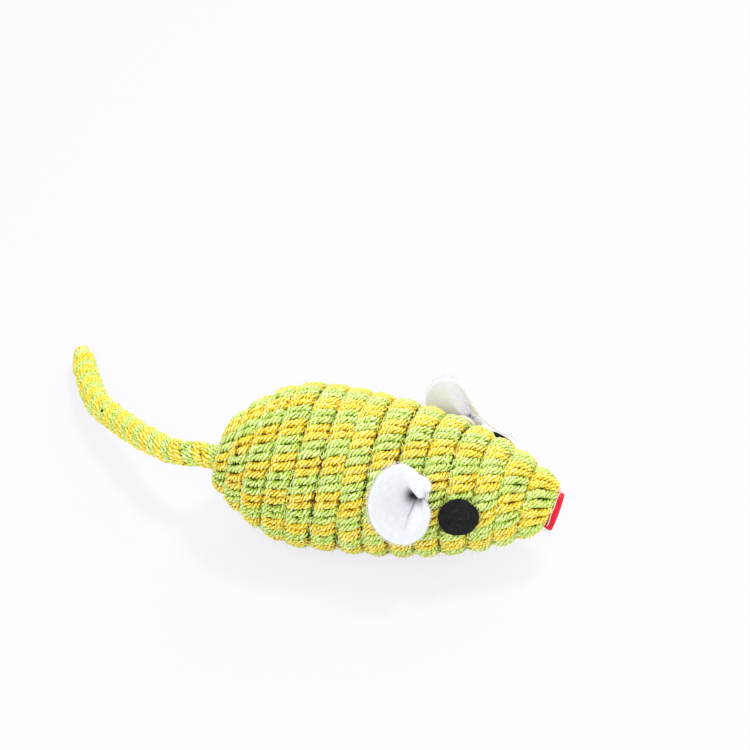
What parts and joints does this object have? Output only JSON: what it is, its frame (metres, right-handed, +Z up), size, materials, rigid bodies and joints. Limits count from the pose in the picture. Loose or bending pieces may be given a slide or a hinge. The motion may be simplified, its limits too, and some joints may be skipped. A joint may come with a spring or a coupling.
{
  "type": "mouse cat toy",
  "caption": "Small toy mouse: a two-colour rope wound round a tapered foam body, running on as a tail, with glued felt ears, eyes and nose.",
  "frame": {"origin": "on the floor, under the middle of the toy's box without its tail", "axes": "+X towards the nose along the body, +Y the mouse's left, +Z up"},
  "size_m": [0.147, 0.0854, 0.0418],
  "materials": {
    "yarn_yellow": "twisted polyester yarn, soft sheen",
    "yarn_green": "twisted polyester yarn, soft sheen",
    "felt_white": "pressed felt, matt",
    "felt_black": "pressed felt, matt",
    "felt_red": "pressed felt, matt",
    "glue": "set hot-melt glue, slightly cloudy",
    "foam": "foamed plastic, matt"
  },
  "bodies": {
    "body": {"body_core": "foam", "body_winding": "yarn_yellow", "eye_right": "felt_black", "eye_left": "felt_black", "nose": "felt_red", "ear_glue_right": "glue", "ear_glue_left": "glue", "eye_glue_right": "glue", "eye_glue_left": "glue", "nose_glue": "glue"},
    "ear_right": {"ear_right": "felt_white"},
    "ear_left": {"ear_left": "felt_white"},
    "tail_base": {"tail_base": "yarn_green"},
    "tail_middle": {"tail_middle": "yarn_yellow"},
    "tail_tip": {"tail_tip": "yarn_green"}
  },
  "joints": [
    {"name": "tail_swing", "type": "hinge", "parent": "body", "child": "tail_base", "pos_m": [-0.04688, 0.00059, 0.0192], "axis": [0, 0, 1], "range_deg": [-30, 40], "stiffness_Nm_per_rad": 0.1},
    {"name": "tail_lift", "type": "hinge", "parent": "tail_base", "child": "tail_middle", "pos_m": [-0.05737, 0.0048, 0.01613], "axis": [0.5967, 0.8025, 0], "range_deg": [-25, 45], "stiffness_Nm_per_rad": 0.1},
    {"name": "tail_curl", "type": "hinge", "parent": "tail_middle", "child": "tail_tip", "pos_m": [-0.0854, 0.03168, 0.00684], "axis": [0, 0, 1], "range_deg": [-40, 40], "stiffness_Nm_per_rad": 0.1},
    {"name": "ear_right_flap", "type": "hinge", "parent": "body", "child": "ear_right", "pos_m": [0.01506, -0.01659, 0.02887], "axis": [0, 0.4462, 0.8949], "range_deg": [-2, 40], "stiffness_Nm_per_rad": 0.004},
    {"name": "ear_left_flap", "type": "hinge", "parent": "body", "child": "ear_left", "pos_m": [0.02063, 0.01659, 0.02805], "axis": [0, 0.4462, -0.8949], "range_deg": [-2, 40], "stiffness_Nm_per_rad": 0.004}
  ]
}
